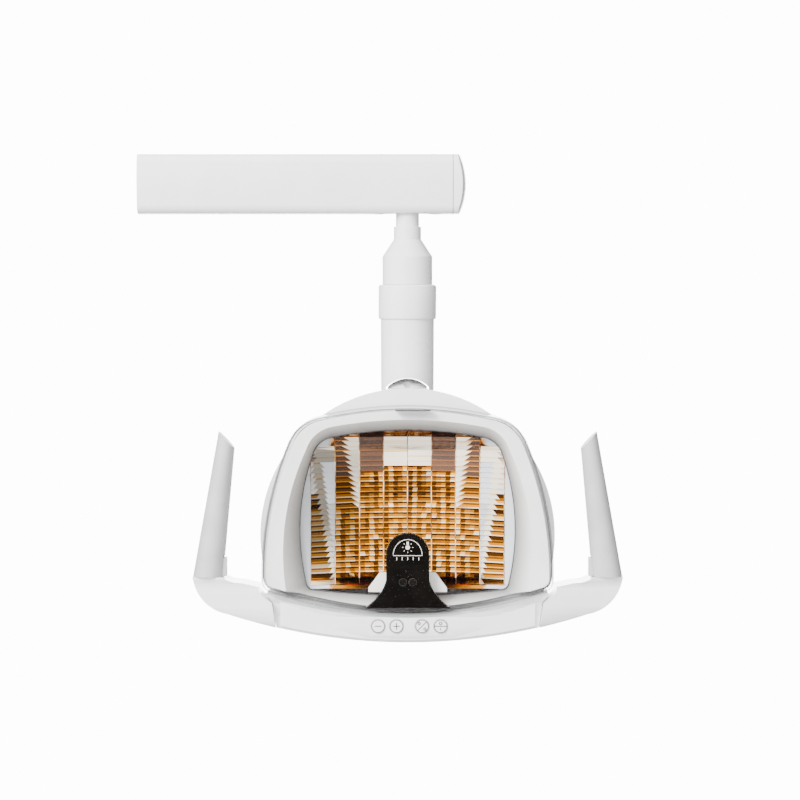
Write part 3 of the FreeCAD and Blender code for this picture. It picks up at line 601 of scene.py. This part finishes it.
def rib_pattern(column, outward, height, rng):
    """Cuts and (painted reflection tone, painted pale reflection) pairs across one rib, from the outer side:
    what that part would mirror, painted into its colour.

    outward counts columns from the middle (0) to the side (3); height runs from 0 at the top to 1.
    """
    tooth = rng.uniform(0.14, 0.22)
    if outward == 0 and height < 0.24:
        return [], [(rng.uniform(0.9, 1.0), 0.0)]
    if outward == 1 and height < 0.27:
        return [], [(rng.uniform(0.05, 0.13), 0.06)]
    if outward == 2 and height < 0.52:
        edge = 0.42 + 1.1 * max(0.0, height - 0.08)
        beside = (rng.uniform(0.02, 0.14), 0.05) if height < 0.3 else (rng.uniform(0.1, 0.5), 0.0)
        return [(edge - tooth, edge + tooth)], [beside, (rng.uniform(0.94, 1.0), 0.3 * (height > 0.25))]
    if outward == 3:
        if height < 0.22:
            return [(0.1 + tooth, 0.1)], [(rng.uniform(0.2, 0.5), 0.3), (rng.uniform(0.94, 1.0), 0.0)]
        middle = 0.24 + 0.98 * (height - 0.22)
        spread = 0.26 - 0.2 * height
        near, far = middle - spread, middle + spread
        cuts = [(near + tooth / 2, near - tooth / 2), (far - tooth / 2, far + tooth / 2)]
        outer = (rng.choice((0.05, 0.3, 0.5, 0.62, 0.8)), 0.0) if height > 0.42 else (0.8, 0.8)
        clear = (0.8, 1.0) if height < 0.5 else (0.2, 0.75)
        return cuts, [outer, (rng.uniform(0.95, 1.0), 0.0), clear]
    return painted_amber_reflection(column, height, rng)


FACET_SEED = 31
# Each rib's bands from its top edge down: start, stop and change of painted reflection tone.
RIB_BANDS = ((0.0, 0.34, -0.34), (0.34, 0.8, 0.0), (0.8, 1.0, 0.36))
SEAT_PROUD = 0.15 * MM
JOINT_PROUD = 0.9 * MM
NARROWEST_CUT = 0.04


def facet_seats(column_count=8, half_width=94.8 * MM, pitch=5.2 * MM, rise=1.3 * MM, joint=0.45 * MM):
    """Saw-tooth seats on the reflector, each rib cut into pieces that are each painted with what they would
    mirror.

    A rib has a painted dark upper step, a broad middle and a painted bright lower lip.
    """
    find = front_finder("reflector")
    low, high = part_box("reflector")
    width = 2 * half_width / column_count
    rng = random.Random(FACET_SEED)
    work = bmesh.new()
    tone = work.faces.layers.float.new("seat_painted_reflection")
    pale_reflection_layer = work.faces.layers.float.new("facet_painted_pale_reflection")
    top = high[2] - 1 * MM
    rows = int((top - low[2] - 0.5 * MM) / pitch)

    # Each seat carries a painted reflection tone and a painted pale reflection.
    def seat(points, value, clear):
        corners = []
        for x, z, lift in points:
            depth = find(x, z)
            if depth is None:
                return
            corners.append(Vector((x, depth - lift, z)))
        face = work.faces.new([work.verts.new(corner) for corner in corners])
        face[tone] = min(max(value, 0.0), 1.0)
        face[pale_reflection_layer] = clear

    for column in range(column_count):
        left = NECK_X - half_width + column * width
        outward = int(abs(column - (column_count - 1) / 2))
        mirrored = column >= column_count / 2
        for row in range(rows):
            upper = top - row * pitch
            height = (row + 0.5) / rows
            cuts, tones = rib_pattern(column, outward, height, rng)
            edges = [(0.0, 0.0), *(tuple(min(max(c, 0.0), 1.0) for c in cut) for cut in cuts), (1.0, 1.0)]
            span = width - 2 * joint
            plain = len(cuts) == 0
            for start, stop, change in RIB_BANDS:
                z_start, z_stop = upper - start * pitch, upper - stop * pitch
                lifts = (SEAT_PROUD + start * rise, SEAT_PROUD + stop * rise)
                for near, far, (value, clear) in zip(edges, edges[1:], tones):
                    sides = [near[0] + (near[1] - near[0]) * start, near[0] + (near[1] - near[0]) * stop,
                             far[0] + (far[1] - far[0]) * stop, far[0] + (far[1] - far[0]) * start]
                    if abs(sides[3] - sides[0]) + abs(sides[2] - sides[1]) < NARROWEST_CUT:
                        continue
                    if mirrored:
                        sides = [1 - side for side in sides]
                    corners = [(left + joint + side * span, z, lift)
                               for side, z, lift in zip(sides, (z_start, z_stop, z_stop, z_start),
                                                        (lifts[0], lifts[1], lifts[1], lifts[0]))]
                    placed = [c for i, c in enumerate(corners) if c not in corners[:i]]
                    bright = value > 0.85
                    shift = change * (0.25 if plain or bright else 1.0) + rng.uniform(-0.05, 0.05)
                    if len(placed) > 2:
                        seat(placed, value + shift, clear)
            # Painted highlights: the joints between columns get mid to bright tones.
            for x in (left, left + width - joint):
                seat([(x, upper, JOINT_PROUD), (x, upper - pitch, JOINT_PROUD),
                      (x + joint, upper - pitch, JOINT_PROUD), (x + joint, upper, JOINT_PROUD)],
                     rng.uniform(0.5, 0.98), 0.0)
    bmesh.ops.recalc_face_normals(work, faces=work.faces)
    for face in work.faces:
        if face.normal.y > 0:
            face.normal_flip()
    return object_of("facet_seats", mesh_of("facet_seats", work))


def node_group(name, source, result, settings):
    """A geometry node tree and the outputs of its input node.

    source and result name the geometry it takes and gives; settings are (name, socket type, value).
    """
    tree = bpy.data.node_groups.new(name, "GeometryNodeTree")
    tree.interface.new_socket(source, in_out="INPUT", socket_type="NodeSocketGeometry")
    for label, kind, value in settings:
        tree.interface.new_socket(label, in_out="INPUT", socket_type=kind).default_value = value
    tree.interface.new_socket(result, in_out="OUTPUT", socket_type="NodeSocketGeometry")
    return tree, tree.nodes.new("NodeGroupInput").outputs


def facet_tree(material):
    """Nodes that back every seat into a solid wedge and add a random spread to its painted reflection tone.
    """
    tree, given = node_group("pressed_facets", "Seats", "Facets",
                             (("Backing", "NodeSocketFloat", 0.9 * MM),
                              ("Painted reflection spread", "NodeSocketFloat", 0.12), ("Seed", "NodeSocketInt", 7)))
    random_tone = add(tree, "FunctionNodeRandomValue", p_data_type="FLOAT")
    tree.links.new(given["Seed"], random_tone.inputs["Seed"])
    tree.links.new(given["Painted reflection spread"], live_socket(random_tone.inputs, "Max"))
    seat = add(tree, "GeometryNodeInputNamedAttribute", Name="seat_painted_reflection", p_data_type="FLOAT")
    tone = add(tree, "ShaderNodeMath", p_operation="ADD")
    tree.links.new(seat.outputs["Attribute"], tone.inputs[0])
    tree.links.new(live_socket(random_tone.outputs, "Value"), tone.inputs[1])
    store = add(tree, "GeometryNodeStoreNamedAttribute",
                {"Geometry": given["Seats"], "Value": tone.outputs[0]},
                Name="facet_painted_reflection", p_data_type="FLOAT", p_domain="FACE")
    back = add(tree, "GeometryNodeExtrudeMesh", {"Mesh": store.outputs["Geometry"]}, p_mode="FACES")
    back.inputs["Individual"].default_value = True
    into = add(tree, "ShaderNodeCombineXYZ", {"Y": given["Backing"]})
    tree.links.new(into.outputs["Vector"], back.inputs["Offset"])
    front = add(tree, "GeometryNodeFlipFaces", {"Mesh": store.outputs["Geometry"]})
    both = tree.nodes.new("GeometryNodeJoinGeometry")
    tree.links.new(back.outputs["Mesh"], both.inputs["Geometry"])
    tree.links.new(front.outputs["Mesh"], both.inputs["Geometry"])
    whole = add(tree, "GeometryNodeRealizeInstances", {"Geometry": both.outputs["Geometry"]})
    painted = add(tree, "GeometryNodeSetMaterial", {"Geometry": whole.outputs["Geometry"]},
                  Material=material)
    tree.links.new(painted.outputs["Geometry"], tree.nodes.new("NodeGroupOutput").inputs["Facets"])
    return tree


def baked(seed_object, tree, name):
    """The plain mesh a node tree makes from an object, as a new object."""
    modifier = seed_object.modifiers.new(tree.name, "NODES")
    modifier.node_group = tree
    bpy.context.view_layer.update()
    ready = seed_object.evaluated_get(bpy.context.evaluated_depsgraph_get())
    mesh = bpy.data.meshes.new_from_object(ready)
    mesh.name = name
    seed_object.modifiers.remove(modifier)
    bpy.data.objects.remove(seed_object)
    return object_of(name, mesh)


facets = baked(facet_seats(), facet_tree(FINISH["gold_mirror"]), "reflector_facets")
finished(facets, "head", "gold_mirror")

# Painted shade: the bezel's slanted wall is painted darker towards the reflector, where shade falls.
bezel_low, bezel_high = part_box("bezel")
bezel_mesh = bpy.data.objects["bezel_skin"].data
bezel_painted_shade = bezel_mesh.attributes.new("funnel_painted_shade", "FLOAT", "POINT")
for vert, entry in zip(bezel_mesh.vertices, bezel_painted_shade.data):
    entry.value = min(max((vert.co.y - bezel_low[1]) / (bezel_high[1] - bezel_low[1]), 0.0), 1.0)

# Painted reflection: outside the ribbed columns the bowl is painted pale grey for the bezel it would mirror,
# and its roof is painted dark.
bowl_mesh = bpy.data.objects["reflector_skin"].data
bowl_painted_reflection = bowl_mesh.attributes.new("facet_painted_reflection", "FLOAT", "POINT")
bowl_painted_pale_reflection = bowl_mesh.attributes.new("facet_painted_pale_reflection", "FLOAT", "POINT")
bowl_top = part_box("reflector")[1][2]
BOWL_ROOF = 9 * MM
BOWL_PALE_REFLECTION_FROM = 76 * MM
for vert, reflection_entry, pale_reflection_entry in zip(bowl_mesh.vertices, bowl_painted_reflection.data, bowl_painted_pale_reflection.data):
    reflection_entry.value = 0.1 if vert.co.z > bowl_top - BOWL_ROOF else 0.55
    pale_reflection_entry.value = 1.0 if abs(vert.co.x - NECK_X) > BOWL_PALE_REFLECTION_FROM else 0.0


# ---------------------------------------------------------------- printed symbols and painted glints

PRINT_PROUD = 0.12 * MM
PRINT_SUNK = 0.1 * MM
KEY_LINE_MM = 0.8
KEY_RING_MM = 6.1


def printed(name, body, lines, width_mm, face_y, ink):
    """Printed lines, each a list of (x, z) points and whether it closes, just proud of a face; the sensor
    eyes' painted glints are drawn the same way.
    """
    work = bmesh.new()
    for points, closes in lines:
        strip(work, points, width_mm * MM, face_y - PRINT_PROUD, face_y + PRINT_SUNK, closes)
    return finished(new_piece(name, work), body, None, material=ink)


def ring(centre, radius_mm, count):
    """A closed printed line round a point."""
    return arc(centre, radius_mm * MM, 0, 360, count)[:-1], True


def key_lines(spot, shape):
    """The ring of a key and the sign inside it."""
    centre = Vector((spot.x, spot.z))
    lines = [ring(centre, KEY_RING_MM, 48)]

    def stroke(x0, z0, x1, z1):
        lines.append(([centre + Vector((x0, z0)) * MM, centre + Vector((x1, z1)) * MM], False))

    if shape in ("minus", "plus"):
        stroke(-3.3, 0, 3.3, 0)
    if shape == "plus":
        stroke(0, -3.3, 0, 3.3)
    if shape == "mode":
        stroke(-4.1, -4.1, 4.1, 4.1)
        for side in (-1, 1):
            lines.append(ring(centre + Vector((-2.7, 2.7)) * MM * side, 1.1, 16))
    if shape == "power":
        stroke(-5.8, 0, 5.8, 0)
        lines.append(ring(centre + Vector((0, 2.8)) * MM, 1.3, 16))
        stroke(0, -1.6, 0, -4.0)
    return lines


for key in KEYS:
    face_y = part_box(key)[0][1]
    printed(f"{key}_print", key, key_lines(KEY_SPOTS[key], key[4:]), KEY_LINE_MM, face_y, INK)

ICON_BASE = Vector((NECK_X, -0.3598))
ICON_HALF_WIDTH = 14.0 * MM
ICON_HEIGHT = 15.6 * MM
BULB = ICON_BASE + Vector((0, 7.9 * MM))
BULB_MM = 2.1
RAY_STARTS = 4.2 * MM
RAY_ENDS = 5.4 * MM
TICKS = 5
TICK_PITCH = 5.3 * MM


def icon_lines():
    """A lamp dome with a shining bulb inside it."""
    dome = [ICON_BASE + Vector((math.cos(a) * ICON_HALF_WIDTH, math.sin(a) * ICON_HEIGHT))
            for a in (math.pi * i / 32 for i in range(33))]
    lines = [(dome, True)]
    for i in range(8):
        way = Vector((math.cos(math.pi * i / 4), math.sin(math.pi * i / 4)))
        if i != 2:
            lines.append(([BULB + way * RAY_STARTS, BULB + way * RAY_ENDS], False))
    return lines


panel_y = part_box("pod_panel")[0][1]
printed("pod_icon_print", "head", icon_lines(), 0.5, panel_y, PALE_INK_AND_GLINT)

bulb_work = bmesh.new()
bulb_rim = ring(BULB, BULB_MM, 28)[0]
rings_to_mesh([[(p.x, y, p.y) for p in bulb_rim] for y in (panel_y - PRINT_PROUD, panel_y + PRINT_SUNK)],
              bulb_work)
finished(new_piece("pod_bulb_print", bulb_work), "head", None, material=PALE_INK_AND_GLINT)
bulb_cap = [BULB + Vector((0, 2.6)) * MM, BULB + Vector((0, 5.4)) * MM]
printed("pod_bulb_cap_print", "head", [(bulb_cap, False)], 2.2, panel_y, PALE_INK_AND_GLINT)


def tick_tree(material):
    """Nodes that repeat one tick along a line."""
    tree, given = node_group("tick_row", "Tick", "Ticks",
                             (("Count", "NodeSocketInt", TICKS), ("Pitch", "NodeSocketFloat", TICK_PITCH)))
    step = add(tree, "ShaderNodeCombineXYZ", {"X": given["Pitch"]})
    row = add(tree, "GeometryNodeMeshLine", {"Count": given["Count"], "Offset": step.outputs["Vector"]})
    set_out = add(tree, "GeometryNodeInstanceOnPoints",
                  {"Points": row.outputs["Mesh"], "Instance": given["Tick"]})
    whole = add(tree, "GeometryNodeRealizeInstances", {"Geometry": set_out.outputs["Instances"]})
    painted = add(tree, "GeometryNodeSetMaterial", {"Geometry": whole.outputs["Geometry"]},
                  Material=material)
    tree.links.new(painted.outputs["Geometry"], tree.nodes.new("NodeGroupOutput").inputs["Ticks"])
    return tree


tick_work = bmesh.new()
first_tick = ICON_BASE - Vector(((TICKS - 1) / 2 * TICK_PITCH, 0))
strip(tick_work, [first_tick - Vector((0, 1.6)) * MM, first_tick - Vector((0, 4.4)) * MM], 0.6 * MM,
      panel_y - PRINT_PROUD, panel_y + PRINT_SUNK)
finished(baked(new_piece("tick_seed", tick_work), tick_tree(PALE_INK_AND_GLINT), "pod_ticks_print"), "head", None,
         material=PALE_INK_AND_GLINT)

EYE_RING = plain_grain("moulded_black_ring", "#262322", "#2E2B29", 0.3, 0.5)
eye_low, eye_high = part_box("sensor_eyes")
eye_radius = (eye_high[2] - eye_low[2]) / 2
eye_z = (eye_low[2] + eye_high[2]) / 2
eyes = [Vector((eye_low[0] + eye_radius, eye_z)), Vector((eye_high[0] - eye_radius, eye_z))]
printed("sensor_rings", "head", [ring(eye, eye_radius / MM, 32) for eye in eyes], 0.55, panel_y, EYE_RING)
# Painted highlight: a small pale glint on each sensor eye.
painted_glints = [([eye + Vector((-0.5, 0.9)) * MM, eye + Vector((0.5, 1.1)) * MM], False) for eye in eyes]
printed("sensor_painted_glints", "head", painted_glints, 0.7, panel_y, PALE_INK_AND_GLINT)


# ---------------------------------------------------------------- seal and clip round the opening

SEAL = plain_grain("dark_grey_silicone", "#3E3F41", "#47484A", 0.5, 0.6)
bezel_back = bezel_high[1]
seal_loop = resampled(face_loops("bezel", bezel_back)[1], 3.0)
seal_work = bmesh.new()
strip(seal_work, seal_loop, 1.5 * MM, bezel_back - 0.3 * MM, bezel_back + 3.2 * MM, closed=True)
finished(new_piece("reflector_seal", seal_work), "head", None, material=SEAL)

shield_low, shield_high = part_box("clear_shield")
clip_z = shield_high[2] - 3.4 * MM
clip_ends = [Vector((NECK_X - 12 * MM, clip_z)), Vector((NECK_X + 22 * MM, clip_z))]
clip_work = bmesh.new()
strip(clip_work, clip_ends, 1.3 * MM, shield_high[1] - 38 * MM, shield_high[1] - 26 * MM)
finished(new_piece("shield_clip", clip_work), "shield", None, material=SEAL)

cap_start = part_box("arm_tube")[1][0]
seam_loop = resampled(face_loops("arm_end_cap", cap_start, axis=0)[0], 1.5)
SEAM_HALF = 0.3 * MM
SEAM_PROUD = 0.15 * MM
SEAM_SUNK = 1.4 * MM
seam_work = bmesh.new()
seam_rings = [[(cap_start + side * SEAM_HALF, p.x, p.y) for p in inset(seam_loop, depth)]
              for side, depth in ((-1, -SEAM_PROUD), (1, -SEAM_PROUD), (1, SEAM_SUNK), (-1, SEAM_SUNK))]
rings_to_mesh(seam_rings + seam_rings[:1], seam_work, capped=False)
bmesh.ops.remove_doubles(seam_work, verts=seam_work.verts, dist=0.001 * MM)
finished(new_piece("arm_cap_seam", seam_work), "arm", None, material=SEAL)

# Painted reflection: grey lines along the shield's front edge and rim stand in for the dark refraction at a
# clear edge.
PAINTED_EDGE_GREY = plain_grain("painted_refraction_edge_grey", "#6C6F72", "#75787B", 0.2, 2.0)
rim_loop = resampled(face_loops("clear_shield", shield_high[1])[0], 4.0)
front_line = inset(rim_loop, 1.4 * MM)
find_shield = front_finder("clear_shield")


def shield_front(point):
    """The Y of the shield's outer face at an (x, z) point."""
    return find_shield(point.x, point.y)


edge_work = bmesh.new()
strip(edge_work, front_line, 0.55 * MM, lambda p: shield_front(p) - 0.05 * MM,
      lambda p: shield_front(p) + 0.3 * MM, closed=True)
strip(edge_work, inset(rim_loop, 0.4 * MM), 0.9 * MM, shield_high[1] - 0.8 * MM, shield_high[1], closed=True)
finished(new_piece("shield_painted_edge_lines", edge_work), "shield", None, material=PAINTED_EDGE_GREY)


# ---------------------------------------------------------------- camera, lights and floor

scene = bpy.context.scene
CAMERA_PLACE = (0.260, -2.3, -0.100)
CAMERA_DOWN = 2.862
CAMERA_LENS = 103.5
FLOOR_Z = -1.2
FLOOR_SIZE = 1.5

camera_data = bpy.data.cameras.new("studio_camera")
camera_data.lens = CAMERA_LENS
camera_data.sensor_width = 36.0
camera = bpy.data.objects.new("studio_camera", camera_data)
camera.location = CAMERA_PLACE
camera.rotation_euler = (math.radians(90 - CAMERA_DOWN), 0, 0)
scene.collection.objects.link(camera)
scene.camera = camera

floor_work = bmesh.new()
bmesh.ops.create_grid(floor_work, x_segments=1, y_segments=1, size=FLOOR_SIZE)
bmesh.ops.translate(floor_work, verts=floor_work.verts, vec=(CAMERA_PLACE[0], 0.0, FLOOR_Z))
floor = new_piece("studio_floor", floor_work)
paper, paper_tree, paper_shader, paper_place = surface("matt_pale_paper", "#C9C9C9", 0.8)
mottle(paper_tree, paper_shader, paper_place, "#C6C6C6", "#CCCCCC", 400.0, 0.03, 0.8)
floor.data.materials.append(paper)


def soft_light(name, place, target, size, watts):
    """A large soft rectangular light aimed at a point."""
    light = bpy.data.lights.new(name, "AREA")
    light.shape = "RECTANGLE"
    light.size, light.size_y = size
    light.energy = watts
    lamp = bpy.data.objects.new(name, light)
    lamp.location = place
    lamp.rotation_euler = (Vector(target) - Vector(place)).to_track_quat("-Z", "Y").to_euler()
    lamp.visible_glossy = False
    scene.collection.objects.link(lamp)


HEAD_CENTRE = (NECK_X, -0.05, -0.33)
soft_light("key_above_left", (-1.2, -1.9, 1.1), (NECK_X, 0.0, -0.2), (1.2, 1.2), 190)
soft_light("fill_front_right", (1.7, -1.9, 0.3), HEAD_CENTRE, (1.4, 1.4), 6)
soft_light("top_wide", (0.2, 0.3, 1.7), (0.26, 0.0, -0.2), (1.8, 1.2), 40)

WALL_WHITE = 14.0
# Brightness of the studio by direction, from straight ahead of the object (0) to straight behind it (1):
# a small dark gap ahead, soft boxes round it, a dim room, then the white wall.
ROOM_BY_DIRECTION = ((0.0, 0.12), (0.009, 0.12), (0.022, 3.4), (0.3, 2.8), (0.42, 0.45), (0.965, 0.45),
                     (0.979, WALL_WHITE))
world = bpy.data.worlds.new("white_studio")
world.use_nodes = True
world_tree = world.node_tree
backdrop = next(n for n in world_tree.nodes if n.type == "BACKGROUND")
direction = add(world_tree, "ShaderNodeTexCoord").outputs["Generated"]
facing = add(world_tree, "ShaderNodeSeparateXYZ", {"Vector": direction})
share = add(world_tree, "ShaderNodeMapRange", {"Value": facing.outputs["Y"]}, From_Min=-1.0, From_Max=1.0)
room = add(world_tree, "ShaderNodeValToRGB", {"Fac": share.outputs["Result"]})
for index, (position, brightness) in enumerate(ROOM_BY_DIRECTION):
    stops = room.color_ramp.elements
    stop = stops[index] if index < 2 else stops.new(position)
    stop.position = position
    stop.color = (brightness / WALL_WHITE,) * 3 + (1.0,)
world_tree.links.new(room.outputs["Color"], backdrop.inputs["Color"])
darker_right = add(world_tree, "ShaderNodeMapRange", {"Value": facing.outputs["X"]},
                   From_Min=0.28, From_Max=0.8, To_Min=WALL_WHITE, To_Max=0.12 * WALL_WHITE)
darker_below = add(world_tree, "ShaderNodeMapRange", {"Value": facing.outputs["Z"]},
                   From_Min=-0.5, From_Max=-0.29, To_Min=0.04, To_Max=1.0)
strength = add(world_tree, "ShaderNodeMath", p_operation="MULTIPLY")
world_tree.links.new(darker_right.outputs["Result"], strength.inputs[0])
world_tree.links.new(darker_below.outputs["Result"], strength.inputs[1])
world_tree.links.new(strength.outputs["Value"], backdrop.inputs["Strength"])
scene.world = world
